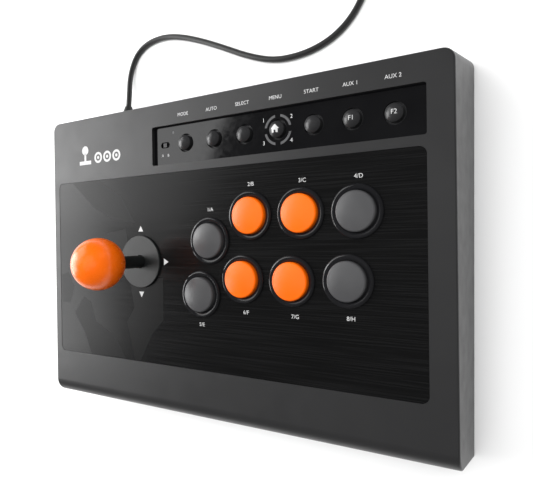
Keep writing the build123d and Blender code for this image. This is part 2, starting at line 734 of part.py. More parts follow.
BARREL_FLOOR = -22.0
STEM_HOLE_R = 3.4
BEZEL_LIP = 0.9
CREST_R, CREST = 15.3, BEZEL_HEIGHT - 0.2
BEZEL_SIDE = (16.35, 1.1)
BEZEL_DISH = (14.2, 1.6)
CLIP_U, CLIP_WIDTH, CLIP_DEPTH, BODY_END = 10.7, 1.4, 9.0, -37.0
with BuildPart() as button_bodies:
    for u, v in BUTTONS:
        section = section_at(u, v)
        with BuildSketch(section):
            with BuildLine():
                Line((BARREL_BORE_R, BEZEL_LIP), (BARREL_BORE_R, BARREL_FLOOR))
                Line((BARREL_BORE_R, BARREL_FLOOR), (STEM_HOLE_R, BARREL_FLOOR))
                Line((STEM_HOLE_R, BARREL_FLOOR), (STEM_HOLE_R, -BARREL_DEPTH))
                Polyline((STEM_HOLE_R, -BARREL_DEPTH), (BARREL_R, -BARREL_DEPTH), (BARREL_R, PANEL_TOP))
                Line((BARREL_R, PANEL_TOP), (BEZEL_R, PANEL_TOP))
                ThreePointArc((BEZEL_R, PANEL_TOP), BEZEL_SIDE, (CREST_R, CREST))
                ThreePointArc((CREST_R, CREST), BEZEL_DISH, (BARREL_BORE_R, BEZEL_LIP))
            make_face()
        revolve(axis=Axis(section.origin, section.y_dir))
        for side in (-1, 1):
            add(face_block(CLIP_WIDTH, CLIP_DEPTH, -BARREL_DEPTH, BODY_END, u + side * CLIP_U, v))
finish(button_bodies, "button_bodies")

BUTTON_NUT_R, BUTTON_NUT_HEIGHT = 17.8, 4.0
GRIP_R = 1.2
with BuildPart() as button_nuts:
    with BuildSketch(FACE.offset(-FACE_THICKNESS)):
        with Locations(*BUTTONS):
            Circle(BUTTON_NUT_R)
            Circle(BARREL_R + SLIDE_FIT, mode=Mode.SUBTRACT)
            with PolarLocations(BUTTON_NUT_R, 8):
                Circle(GRIP_R, mode=Mode.SUBTRACT)
    extrude(amount=-BUTTON_NUT_HEIGHT)
finish(button_nuts, "button_nuts")

STEM_END = -24.6
SWITCH_PLUNGER_R, SWITCH_PLUNGER_HEIGHT = 1.4, 1.0
MICROSWITCH_SIZE = (20.0, 6.4)
MICROSWITCH_HEIGHT = 8.5
TERMINAL_U, TERMINAL_SIZE, TERMINAL_LENGTH = 6.0, (0.6, 4.5), 2.5
plunger_top = STEM_END - CAP_TRAVEL - SWITCH_GAP
plunger_foot = plunger_top - SWITCH_PLUNGER_HEIGHT
microswitch_end = plunger_foot - MICROSWITCH_HEIGHT
terminal_end = microswitch_end - TERMINAL_LENGTH
with BuildPart() as button_switches:
    for u, v in BUTTONS:
        add(ring(0, SWITCH_PLUNGER_R, plunger_top, plunger_foot, u, v))
        add(face_block(*MICROSWITCH_SIZE, plunger_foot, microswitch_end, u, v))
        for side in (-1, 1):
            add(face_block(*TERMINAL_SIZE, microswitch_end, terminal_end, u + side * TERMINAL_U, v))
finish(button_switches, "button_switches")

CAP_UNDER = 1.0
cap_inner_r = CAP_R - CAP_WALL
dome_r = CAP_R - CAP_EDGE_R
edge_foot = CAP_EDGE - CAP_EDGE_R
edge_middle = (dome_r + CAP_EDGE_R * cos(pi / 4), edge_foot + CAP_EDGE_R * sin(pi / 4))
for number, (u, v) in enumerate(BUTTONS, start=1):
    section = section_at(u, v)
    with BuildPart() as button_cap:
        with BuildSketch(section):
            with BuildLine():
                Polyline((0, CAP_CROWN), (0, STEM_END), (CAP_STEM_R, STEM_END), (CAP_STEM_R, CAP_UNDER))
                Polyline((CAP_STEM_R, CAP_UNDER), (cap_inner_r, CAP_UNDER), (cap_inner_r, -CAP_SKIRT))
                Polyline((cap_inner_r, -CAP_SKIRT), (CAP_R, -CAP_SKIRT), (CAP_R, edge_foot))
                ThreePointArc((CAP_R, edge_foot), edge_middle, (dome_r, CAP_EDGE))
                ThreePointArc(
                    (dome_r, CAP_EDGE),
                    (dome_r / 2, dome_height(dome_r, CAP_EDGE, CAP_CROWN, dome_r / 2)),
                    (0, CAP_CROWN),
                )
            make_face()
        revolve(axis=Axis(section.origin, section.y_dir))
    finish(button_cap, f"button_cap_{number}")

# ---------------------------------------------------------------- strip of small controls

small_places = [(SMALL_FIRST_U + SMALL_PITCH * i, SMALL_V) for i in range(len(SMALL_NAMES))]
home_u, home_v = small_places[HOME_INDEX]
RING_INNER_R, RING_OUTER_R = 8.5, 10.1
RING_BREAK = 4.0
RING_FOOT = 1.0
SLIDE_U, SLIDE_V = 24.0, 87.9
SLIDE_SLOT = (8.6, 4.4)
LED_U, LED_V = 31.6, 96.6
LED_R = 1.0
POST_R, POST_BORE_R, POST_BORE_DEPTH = 2.5, 1.15, 4.0
POST_PLACES = [(u, v) for u in (20.4, 208.6) for v in (76, 99.5)]


def ring_arcs(inner_r, outer_r):
    """Four quarter arcs round the home button, with gaps straight up, down and to the sides."""
    with Locations((home_u, home_v)):
        Circle(outer_r)
        Circle(inner_r, mode=Mode.SUBTRACT)
        Rectangle(2 * outer_r + CLEAR, RING_BREAK, mode=Mode.SUBTRACT)
        Rectangle(RING_BREAK, 2 * outer_r + CLEAR, mode=Mode.SUBTRACT)


with BuildPart() as control_strip:
    with BuildSketch(FACE.offset(STRIP_TOP)):
        with Locations((STRIP_U, STRIP_V)):
            Rectangle(STRIP_WIDTH + 2 * STRIP_LIP, STRIP_DEPTH + 2 * STRIP_LIP)
        with Locations(*small_places):
            Circle(SMALL_HOLE_R, mode=Mode.SUBTRACT)
        with Locations((SLIDE_U, SLIDE_V)):
            SlotOverall(*SLIDE_SLOT, mode=Mode.SUBTRACT)
        with Locations((LED_U, LED_V)):
            Circle(LED_R + 2 * SLIDE_FIT, mode=Mode.SUBTRACT)
    extrude(amount=-STRIP_THICKNESS)
    with BuildSketch(FACE.offset(STRIP_TOP + CLEAR)):
        ring_arcs(RING_INNER_R - SLIDE_FIT, RING_OUTER_R + SLIDE_FIT)
    extrude(amount=-STRIP_THICKNESS - 2 * CLEAR, mode=Mode.SUBTRACT)
    with BuildSketch(FACE.offset(STRIP_UNDER)):
        with Locations(*POST_PLACES):
            Circle(POST_R)
    extrude(amount=BOARD_TOP - STRIP_UNDER)
    with BuildSketch(FACE.offset(BOARD_TOP)):
        with Locations(*POST_PLACES):
            Circle(POST_BORE_R)
    extrude(amount=POST_BORE_DEPTH, mode=Mode.SUBTRACT)
finish(control_strip, "control_strip")

with BuildPart() as home_light_ring:
    with BuildSketch(FACE.offset(STRIP_TOP)):
        ring_arcs(RING_INNER_R, RING_OUTER_R)
    extrude(amount=-STRIP_THICKNESS)
    add(ring(RING_INNER_R, RING_OUTER_R, STRIP_UNDER, STRIP_UNDER - RING_FOOT, home_u, home_v))
finish(home_light_ring, "home_light_ring")

for name, (u, v) in zip(SMALL_NAMES, small_places):
    with BuildPart() as small_button:
        add(domed(SMALL_R, SMALL_FLANGE_TOP, STRIP_TOP + SMALL_RISE, STRIP_TOP + SMALL_CROWN, u, v))
        add(ring(0, SMALL_FLANGE_R, SMALL_FLANGE_TOP, SMALL_FLANGE_UNDER, u, v))
    finish(small_button, f"{name}_button")

TACT_SIZE = 6.0
TACT_PLUNGER_R, TACT_PLUNGER_HEIGHT = 1.6, 0.8
tact_body_top = TACT_TOP - TACT_PLUNGER_HEIGHT
with BuildPart() as tact_switches:
    for u, v in small_places:
        add(ring(0, TACT_PLUNGER_R, TACT_TOP, tact_body_top, u, v))
        add(face_block(TACT_SIZE, TACT_SIZE, tact_body_top, BOARD_TOP, u, v))
finish(tact_switches, "tact_switches")

CONTROL_PCB_U = 114.6
CONTROL_PCB_SIZE = (196.0, 30.0)
BOARD_SCREW_R = 1.1
with BuildPart() as control_pcb:
    with BuildSketch(FACE.offset(BOARD_TOP)):
        with Locations((CONTROL_PCB_U, SMALL_V)):
            Rectangle(*CONTROL_PCB_SIZE)
        with Locations(*POST_PLACES):
            Circle(POST_BORE_R + 2 * SLIDE_FIT, mode=Mode.SUBTRACT)
    extrude(amount=-BOARD_THICKNESS)
finish(control_pcb, "control_pcb")

SLIDE_BODY_SIZE, SLIDE_BODY_TOP = (9.6, 5.6), STRIP_UNDER - 2.4
KNOB_SIZE, KNOB_TOP, KNOB_CHAMFER = (3.2, 3.4), STRIP_TOP + 0.3, 0.4
KNOB_SHIELD_SIZE, KNOB_SHIELD_TOP, KNOB_SHIELD_UNDER = (7.5, 5.0), STRIP_UNDER - 0.2, STRIP_UNDER - 1.2
KNOB_STEM_SIZE, KNOB_STEM_END = (2.0, 2.0), STRIP_UNDER - 2.1
with BuildPart() as slide_switch_body:
    add(face_block(*SLIDE_BODY_SIZE, SLIDE_BODY_TOP, BOARD_TOP, SLIDE_U, SLIDE_V))
finish(slide_switch_body, "slide_switch_body")

with BuildPart() as slide_switch_knob:
    add(face_block(*KNOB_SIZE, KNOB_TOP, KNOB_SHIELD_TOP, SLIDE_U, SLIDE_V))
    chamfer(slide_switch_knob.edges().group_by(Axis.Z)[-1], KNOB_CHAMFER)
    add(face_block(*KNOB_SHIELD_SIZE, KNOB_SHIELD_TOP, KNOB_SHIELD_UNDER, SLIDE_U, SLIDE_V))
    add(face_block(*KNOB_STEM_SIZE, KNOB_SHIELD_UNDER, KNOB_STEM_END, SLIDE_U, SLIDE_V))
finish(slide_switch_knob, "slide_switch_knob")

LED_TOP, LED_BASE_TOP = STRIP_TOP - 0.1, STRIP_UNDER - 0.4
LED_BASE_SIZE = (3.2, 2.6)
with BuildPart() as status_led:
    add(ring(0, LED_R, LED_TOP, LED_BASE_TOP, LED_U, LED_V))
    add(face_block(*LED_BASE_SIZE, LED_BASE_TOP, BOARD_TOP, LED_U, LED_V))
finish(status_led, "status_led")

# ---------------------------------------------------------------- main board

main_top = MAIN_BOTTOM + BOARD_THICKNESS
with BuildPart() as main_pcb:
    with BuildSketch(Plane.XY.offset(MAIN_BOTTOM)):
        with Locations((MAIN_X, MAIN_Y)):
            RectangleRounded(MAIN_WIDTH, MAIN_DEPTH, MAIN_CORNER_R)
            with GridLocations(*MAIN_FIXING_SPACING, 2, 2):
                Circle(MAIN_SCREW_R + 3 * SLIDE_FIT, mode=Mode.SUBTRACT)
    extrude(amount=BOARD_THICKNESS)
finish(main_pcb, "main_pcb")

# Blocks on the main board: offset from its middle, then size
CHIPS = [
    ((0, -2), (12, 12)),
    ((20, -4), (8, 5)),
    ((-14, -14), (12, 5)),
    ((2, -17), (12, 5)),
    ((20, -15), (12, 5)),
]
CHIP_HEIGHT = 3.5
with BuildPart() as main_pcb_chips:
    with BuildSketch(Plane.XY.offset(main_top)):
        for (across, along), (width, depth) in CHIPS:
            with Locations((MAIN_X + across, MAIN_Y + along)):
                Rectangle(width, depth)
    extrude(amount=CHIP_HEIGHT)
    with BuildSketch(Plane.XY.offset(main_top)):
        with Locations((CORD_X, LEAD_SOCKET_Y)):
            Rectangle(*LEAD_SOCKET_SIZE)
    extrude(amount=LEAD_SOCKET_HEIGHT)
finish(main_pcb_chips, "main_pcb_chips")

BOARD_SCREW_HEAD_R, BOARD_SCREW_HEAD_HEIGHT = 2.2, 1.5
MAIN_SCREW_LENGTH = 5.0
board_screw_top = BOARD_TOP + POST_BORE_DEPTH - BOARD_SCREW_HEAD_HEIGHT / 3
board_under = BOARD_TOP - BOARD_THICKNESS
with BuildPart() as board_screws:
    with BuildSketch(Plane.XY.offset(main_top)):
        with Locations((MAIN_X, MAIN_Y)):
            with GridLocations(*MAIN_FIXING_SPACING, 2, 2):
                Circle(BOARD_SCREW_HEAD_R)
    extrude(amount=BOARD_SCREW_HEAD_HEIGHT)
    with BuildSketch(Plane.XY.offset(main_top)):
        with Locations((MAIN_X, MAIN_Y)):
            with GridLocations(*MAIN_FIXING_SPACING, 2, 2):
                Circle(MAIN_SCREW_R)
    extrude(amount=-MAIN_SCREW_LENGTH)
    for post_u, post_v in POST_PLACES:
        head_end = board_under - BOARD_SCREW_HEAD_HEIGHT
        add(ring(0, BOARD_SCREW_HEAD_R, board_under, head_end, post_u, post_v))
        add(ring(0, BOARD_SCREW_R, board_screw_top, board_under, post_u, post_v))
finish(board_screws, "board_screws")

# ---------------------------------------------------------------- USB lead

FLANGE_R, FLANGE_THICKNESS = 5.8, 2.0
NECK_R = CORD_HOLE_R - 0.1
COLLAR_R, COLLAR_END_R, COLLAR_WIDTH = 5.9, 5.6, 2.4
RELIEF_TIP_R = 3.3
flange_y = walls_at(CORD_Z + FLANGE_R, WALL)[1] - 2 * SLIDE_FIT
flange_start = flange_y - FLANGE_THICKNESS
relief_outline = [
    (0, flange_start),
    (FLANGE_R, flange_start),
    (FLANGE_R, flange_y),
    (NECK_R, flange_y),
    (NECK_R, RELIEF_COLLAR),
    (COLLAR_R, RELIEF_COLLAR),
    (COLLAR_END_R, RELIEF_COLLAR + COLLAR_WIDTH),
    (RELIEF_TIP_R, RELIEF_END),
    (0, RELIEF_END),
]
with BuildPart() as strain_relief:
    with BuildSketch(Plane(origin=(CORD_X, 0, CORD_Z), x_dir=(1, 0, 0), z_dir=(0, 0, 1))):
        with BuildLine():
            Polyline(*relief_outline, close=True)
        make_face()
    revolve(axis=Axis((CORD_X, 0, CORD_Z), (0, 1, 0)))
finish(strain_relief, "strain_relief")

with BuildPart() as inner_lead:
    with BuildSketch(Plane.XZ.offset(-flange_start)):
        with Locations((CORD_X, CORD_Z)):
            Circle(CORD_D / 2)
    extrude(amount=flange_start - LEAD_SOCKET_Y - LEAD_SOCKET_SIZE[1] / 2)
finish(inner_lead, "inner_lead")


def tube_along(route):
    """A round tube along straight runs joined by arcs as large as the runs allow; prints the radii."""
    points = [Vector(*p) for p in route]
    runs = [points[i + 1] - points[i] for i in range(len(points) - 1)]
    radii = []
    for before, after in zip(runs, runs[1:]):
        turn = radians(before.get_angle(after))
        radii.append(0.45 * min(before.length, after.length) / tan(turn / 2))
    with BuildPart() as tube:
        with BuildLine() as path:
            FilletPolyline(*points, radius=radii)
        with BuildSketch(Plane(origin=points[0], z_dir=runs[0])):
            Circle(CORD_D / 2)
        sweep(path=path.wires()[0])
    line = path.wires()[0].length
    print("tube radii", [round(r, 1) for r in radii], "length", round(line, 1))
    print("runs", [round(r.length, 1) for r in runs])
    print("volume over section x length", round(tube.part.volume / (line * pi * CORD_D**2 / 4), 4))
    return tube.part


with BuildPart() as usb_cord:
    add(tube_along(CORD_ROUTE))
    add(tube_along(TAIL_ROUTE))
finish(usb_cord, "usb_cord")

COIL_ROUND_R = 2.0
with BuildPart() as cord_coil:
    with BuildSketch(Plane.XY.offset(COIL_BOTTOM)):
        with Locations((COIL_X, COIL_Y)):
            Circle(COIL_OUTER_R)
            Circle(COIL_INNER_R, mode=Mode.SUBTRACT)
    extrude(amount=COIL_HEIGHT)
    fillet(cord_coil.edges().filter_by(GeomType.CIRCLE), COIL_ROUND_R)
finish(cord_coil, "cord_coil")

TIE_WIDTH = 9.0
TIE_CORNER_R = 1.4
TIE_SLACK = 0.2
tie_inner = COIL_INNER_R - TIE_THICKNESS - TIE_SLACK / 2
tie_outer = COIL_OUTER_R + TIE_SLACK
tie_span = tie_outer - tie_inner
with BuildPart() as cord_tie:
    with BuildSketch(Plane.YZ.offset(COIL_X - TIE_WIDTH / 2)):
        with Locations((COIL_Y - (tie_inner + tie_outer) / 2, COIL_BOTTOM + COIL_HEIGHT / 2)):
            RectangleRounded(tie_span + 2 * TIE_THICKNESS, COIL_HEIGHT + 2 * TIE_THICKNESS, TIE_CORNER_R)
            Rectangle(tie_span, COIL_HEIGHT, mode=Mode.SUBTRACT)
    extrude(amount=TIE_WIDTH)
finish(cord_tie, "cord_tie")

PLUG_BODY = 24.0
PLUG_NECK = 6.0
PLUG_NECK_R, PLUG_SHOULDER_R = 3.2, 3.85
PLUG_WIDTH, PLUG_CORNER_R, PLUG_EDGE_R = 15.2, 2.2, 0.8
with BuildPart() as usb_plug:
    with BuildSketch(Plane(origin=(PLUG_START_X, PLUG_Y, PLUG_Z), z_dir=(-1, 0, 0))):
        Circle(PLUG_NECK_R)
    with BuildSketch(Plane(origin=(PLUG_START_X - PLUG_NECK, PLUG_Y, PLUG_Z), z_dir=(-1, 0, 0))):
        Circle(PLUG_SHOULDER_R)
    loft()
    with BuildSketch(Plane.YZ.offset(PLUG_START_X - PLUG_NECK)):
        with Locations((PLUG_Y, PLUG_Z)):
            RectangleRounded(PLUG_WIDTH, PLUG_HEIGHT, PLUG_CORNER_R)
    extrude(amount=PLUG_NECK - PLUG_BODY)
    fillet(usb_plug.faces().sort_by(Axis.X)[0].edges(), PLUG_EDGE_R)
finish(usb_plug, "usb_plug")

SHELL_SIZE, SHELL_LENGTH, SHELL_CORNER_R, SHELL_SHEET = (12.0, 4.5), 12.0, 0.6, 0.4
MOUTH_DEPTH, TONGUE_START, TONGUE_LENGTH = 11.0, 1.5, 9.5
TONGUE_HEIGHT, TONGUE_RISE = 2.0, 0.85
mouth_width = SHELL_SIZE[0] - 2 * SHELL_SHEET
mouth_height = SHELL_SIZE[1] - 2 * SHELL_SHEET
shell_start = PLUG_START_X - PLUG_BODY
with BuildPart() as plug_shell:
    with BuildSketch(Plane.YZ.offset(shell_start)):
        with Locations((PLUG_Y, PLUG_Z)):
            RectangleRounded(*SHELL_SIZE, SHELL_CORNER_R)
    extrude(amount=-SHELL_LENGTH)
    with BuildSketch(Plane.YZ.offset(shell_start - SHELL_LENGTH)):
        with Locations((PLUG_Y, PLUG_Z)):
            Rectangle(mouth_width, mouth_height)
    extrude(amount=MOUTH_DEPTH, mode=Mode.SUBTRACT)
    with BuildSketch(Plane.YZ.offset(shell_start - TONGUE_START)):
        with Locations((PLUG_Y, PLUG_Z + TONGUE_RISE)):
            Rectangle(mouth_width, TONGUE_HEIGHT)
    extrude(amount=-TONGUE_LENGTH)
finish(plug_shell, "plug_shell")
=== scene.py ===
"""Looks of the arcade joystick panel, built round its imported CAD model.

Metres, in the CAD's own frame: +Z up, +X the player's right, +Y away from the player. Places on the
sloping face are given as (u, v), in metres to the right and to the rear of the lever's axis.
"""

import json
import math

import bmesh
import bpy
from mathutils import Matrix, Vector


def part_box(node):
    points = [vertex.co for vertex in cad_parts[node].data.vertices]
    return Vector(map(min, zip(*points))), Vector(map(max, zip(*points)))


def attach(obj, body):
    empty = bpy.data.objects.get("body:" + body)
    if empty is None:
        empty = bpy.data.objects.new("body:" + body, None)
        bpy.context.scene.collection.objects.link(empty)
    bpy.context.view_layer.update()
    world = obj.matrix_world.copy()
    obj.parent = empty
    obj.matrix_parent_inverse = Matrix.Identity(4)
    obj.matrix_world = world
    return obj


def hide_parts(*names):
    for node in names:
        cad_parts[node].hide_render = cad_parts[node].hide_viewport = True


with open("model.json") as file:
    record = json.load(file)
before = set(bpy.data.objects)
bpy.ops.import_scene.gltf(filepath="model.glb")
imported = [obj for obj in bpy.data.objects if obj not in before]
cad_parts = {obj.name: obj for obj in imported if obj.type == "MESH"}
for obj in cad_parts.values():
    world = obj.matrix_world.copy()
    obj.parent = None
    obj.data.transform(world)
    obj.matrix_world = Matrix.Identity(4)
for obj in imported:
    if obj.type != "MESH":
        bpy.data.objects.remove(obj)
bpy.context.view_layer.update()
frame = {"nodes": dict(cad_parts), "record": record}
nodes = frame["nodes"]

# ------------------------------------------------------------------------------ camera
# Above the face and to the player's right, level with the middle of the panel, so that the ball and
# the shaft under it are both seen.

camera_data = bpy.data.cameras.new("camera")
camera_data.lens = 33.39
camera_data.sensor_width = 36.0
camera = bpy.data.objects.new("camera", camera_data)
camera.location = (0.2141, -0.0137, 0.3387)
camera.rotation_euler = [math.radians(angle) for angle in (3.739, 30.316, 1.431)]
bpy.context.scene.collection.objects.link(camera)
bpy.context.scene.camera = camera

# ------------------------------------------------------------------------------ USB lead
# A round PVC lead, 1.8 m long and 4.8 mm thick. It leaves the rear wall, crosses the table in loose
# curves and ends in a neat two-layer coil, tied, with its plug beside it.

CORD_DIAMETER = 0.0048
CORD_ROUTE = [
    (-0.1310, 0.1360, 0.0120),
    (-0.1315, 0.1450, 0.0112),
    (-0.1339, 0.1544, 0.0089),
    (-0.1370, 0.1642, 0.0058),
    (-0.1380, 0.1750, 0.0032),
    (-0.1349, 0.1856, 0.0024),
    (-0.1272, 0.1940, 0.0024),
    (-0.1150, 0.1990, 0.0024),
    (-0.0980, 0.1999, 0.0024),
    (-0.0790, 0.1959, 0.0024),
    (-0.0560, 0.1872, 0.0024),
    (-0.0310, 0.1756, 0.0024),
    (-0.0055, 0.1628, 0.0024),
    (0.0200, 0.1539, 0.0024),
    (0.0450, 0.1538, 0.0024),
    (0.0665, 0.1596, 0.0024),
    (0.0825, 0.1710, 0.0024),
    (0.0928, 0.1865, 0.0024),
    (0.0980, 0.2030, 0.0025),
    (0.0998, 0.2200, 0.0030),
]
TAIL_ROUTE = [(0.0525, 0.2749, 0.0076), (0.0430, 0.2754, 0.0046), (0.0340, 0.2756, 0.0039)]
COIL_END = (0.0620, 0.2746, 0.0080)

coil_low, coil_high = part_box("cord_coil")
COIL_X = (coil_low.x + coil_high.x) / 2
COIL_Y = (coil_low.y + coil_high.y) / 2
COIL_OUTER = (coil_high.x - coil_low.x) / 2 - 0.75 * CORD_DIAMETER
COIL_INNER = COIL_OUTER - 3.5 * CORD_DIAMETER
LAST_TURN_R = COIL_OUTER + CORD_DIAMETER / 4
LAYER_LOW = coil_low.z + CORD_DIAMETER / 2
LAYER_HIGH = coil_high.z - CORD_DIAMETER / 2
POINTS_PER_TURN = 16


def coil_turns(turns, start_turn, start_r, end_r, start_z, end_z):
    """Points of a flat spiral, its angle counted in turns from +X, anticlockwise from above."""
    count = round(turns * POINTS_PER_TURN)
    points = []
    for i in range(count):
        share = i / count
        angle = 2 * math.pi * (start_turn + turns * share)
        radius = start_r + (end_r - start_r) * share
        height = start_z + (end_z - start_z) * share
        points.append((COIL_X + radius * math.cos(angle), COIL_Y + radius * math.sin(angle), height))
    return points


lower_turns = coil_turns(3.5, 0.0, COIL_OUTER, COIL_INNER, LAYER_LOW, LAYER_LOW)
climb = coil_turns(1.0, 3.5, COIL_INNER, COIL_INNER, LAYER_LOW, LAYER_HIGH)
upper_turns = coil_turns(3.75, 4.5, COIL_INNER, LAST_TURN_R, LAYER_HIGH, LAYER_HIGH)
lead_points = CORD_ROUTE + lower_turns + climb + upper_turns + [COIL_END] + TAIL_ROUTE

lead_curve = bpy.data.curves.new("usb_lead", "CURVE")
lead_curve.dimensions = "3D"
lead_curve.bevel_depth = 1.0
lead_curve.bevel_resolution = 5
lead_curve.resolution_u = 6
lead_curve.use_fill_caps = True
lead_spline = lead_curve.splines.new("NURBS")
lead_spline.points.add(len(lead_points) - 1)
for point, place in zip(lead_spline.points, lead_points):
    point.co = (*place, 1.0)
    point.radius = CORD_DIAMETER / 2
lead_spline.order_u = 3
lead_spline.use_endpoint_u = True
usb_lead = bpy.data.objects.new("usb_lead", lead_curve)
bpy.context.scene.collection.objects.link(usb_lead)
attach(usb_lead, "housing")
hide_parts("usb_cord", "cord_coil")

# ------------------------------------------------------------------------------ materials
# Each function makes one procedural material. Noise is laid out on object coordinates, which are the
# CAD's own metres.


def new_material(name, color, roughness, metallic=0.0, ior=1.5):
    """A plain material, with its nodes, links and main shader for the functions below to add to."""
    material = bpy.data.materials.new(name)
    material.use_nodes = True
    tree = material.node_tree
    shader = tree.nodes["Principled BSDF"]
    shader.inputs["Base Color"].default_value = (*color, 1.0)
    shader.inputs["Roughness"].default_value = roughness
    shader.inputs["Metallic"].default_value = metallic
    shader.inputs["IOR"].default_value = ior
    return material, tree, shader


def noise(tree, scale, detail=2.0, stretch=(1.0, 1.0, 1.0)):
    """A noise texture on object coordinates; scale is in features per metre."""
    place = tree.nodes.new("ShaderNodeTexCoord")
    mapping = tree.nodes.new("ShaderNodeMapping")
    mapping.inputs["Scale"].default_value = stretch
    texture = tree.nodes.new("ShaderNodeTexNoise")
    texture.inputs["Scale"].default_value = scale
    texture.inputs["Detail"].default_value = detail
    tree.links.new(place.outputs["Object"], mapping.inputs["Vector"])
    tree.links.new(mapping.outputs["Vector"], texture.inputs["Vector"])
    return texture


def spread(tree, texture, low, high, out_low, out_high):
    """Maps a noise texture's value from low..high to out_low..out_high."""
    ramp = tree.nodes.new("ShaderNodeMapRange")
    ramp.inputs["From Min"].default_value = low
    ramp.inputs["From Max"].default_value = high
    ramp.inputs["To Min"].default_value = out_low
    ramp.inputs["To Max"].default_value = out_high
    tree.links.new(texture.outputs["Fac"], ramp.inputs["Value"])
    return ramp.outputs["Result"]


def tinted(tree, shader, value, dark, light):
    """Base colour that runs from dark to light with value, which is from 0 to 1."""
    mix = tree.nodes.new("ShaderNodeMix")
    mix.data_type = "RGBA"
    mix.inputs["A"].default_value = (*dark, 1.0)
    mix.inputs["B"].default_value = (*light, 1.0)
    tree.links.new(value, mix.inputs["Factor"])
    tree.links.new(mix.outputs["Result"], shader.inputs["Base Color"])


def bumped(tree, shader, texture, depth):
    """Fine relief of that depth, in metres."""
    bump = tree.nodes.new("ShaderNodeBump")
    bump.inputs["Strength"].default_value = 1.0
    bump.inputs["Distance"].default_value = depth
    tree.links.new(texture.outputs["Fac"], bump.inputs["Height"])
    tree.links.new(bump.outputs["Normal"], shader.inputs["Normal"])


def moulded_plastic(name, dark, light, roughness, grain=2600.0, grain_depth=0.00001):
    """Moulded plastic: a fine spark-eroded grain, a slow change of tone, and an uneven sheen."""
    material, tree, shader = new_material(name, light, roughness)
    tone = spread(tree, noise(tree, 14.0, 3.0), 0.3, 0.7, 0.0, 1.0)
    tinted(tree, shader, tone, dark, light)
    sheen = spread(tree, noise(tree, 90.0, 3.0), 0.3, 0.7, roughness - 0.03, roughness + 0.04)
    tree.links.new(sheen, shader.inputs["Roughness"])
    bumped(tree, shader, noise(tree, grain, 2.0), grain_depth)
    return material


def polished_plastic(name, dark, light, roughness, ripple_depth=0.000004):
    """Gloss plastic: a faint moulding ripple, and light handling marks in its sheen."""
    material, tree, shader = new_material(name, light, roughness)
    tone = spread(tree, noise(tree, 40.0, 2.0), 0.35, 0.65, 0.0, 1.0)
    tinted(tree, shader, tone, dark, light)
    marks = spread(tree, noise(tree, 260.0, 4.0), 0.4, 0.7, roughness, roughness + 0.06)
    tree.links.new(marks, shader.inputs["Roughness"])
    bumped(tree, shader, noise(tree, 320.0, 1.0), ripple_depth)
    return material


def brushed_film(name, dark, light, roughness):
    """Low-sheen gloss film printed with fine brushed lines that run left and right."""
    material, tree, shader = new_material(name, light, roughness, ior=1.28)
    lines = noise(tree, 1.0, 4.0, stretch=(16.0, 1100.0, 16.0))
    tinted(tree, shader, spread(tree, lines, 0.42, 0.66, 0.0, 1.0), dark, light)
    gloss = spread(tree, lines, 0.35, 0.7, roughness, roughness + 0.05)
    tree.links.new(gloss, shader.inputs["Roughness"])
    bumped(tree, shader, lines, 0.000002)
    return material


def metal(name, color, roughness, scratch=1200.0):
    """Bare or plated metal with faint directional scratches."""
    material, tree, shader = new_material(name, color, roughness, metallic=1.0)
    lines = noise(tree, 1.0, 3.0, stretch=(scratch, scratch * 0.05, scratch * 0.3))
    wear = spread(tree, lines, 0.35, 0.65, roughness * 0.7, roughness * 1.4)
    tree.links.new(wear, shader.inputs["Roughness"])
    bumped(tree, shader, lines, 0.000004)
    return material


def circuit_board(name):
    """Green solder mask with paler copper runs showing through."""
    material, tree, shader = new_material(name, (0.01, 0.12, 0.05), 0.3)
    runs = noise(tree, 260.0, 0.0, stretch=(1.0, 1.0, 0.2))
    tinted(tree, shader, spread(tree, runs, 0.52, 0.54, 0.0, 1.0), (0.006, 0.09, 0.035), (0.02, 0.2, 0.08))
    return material


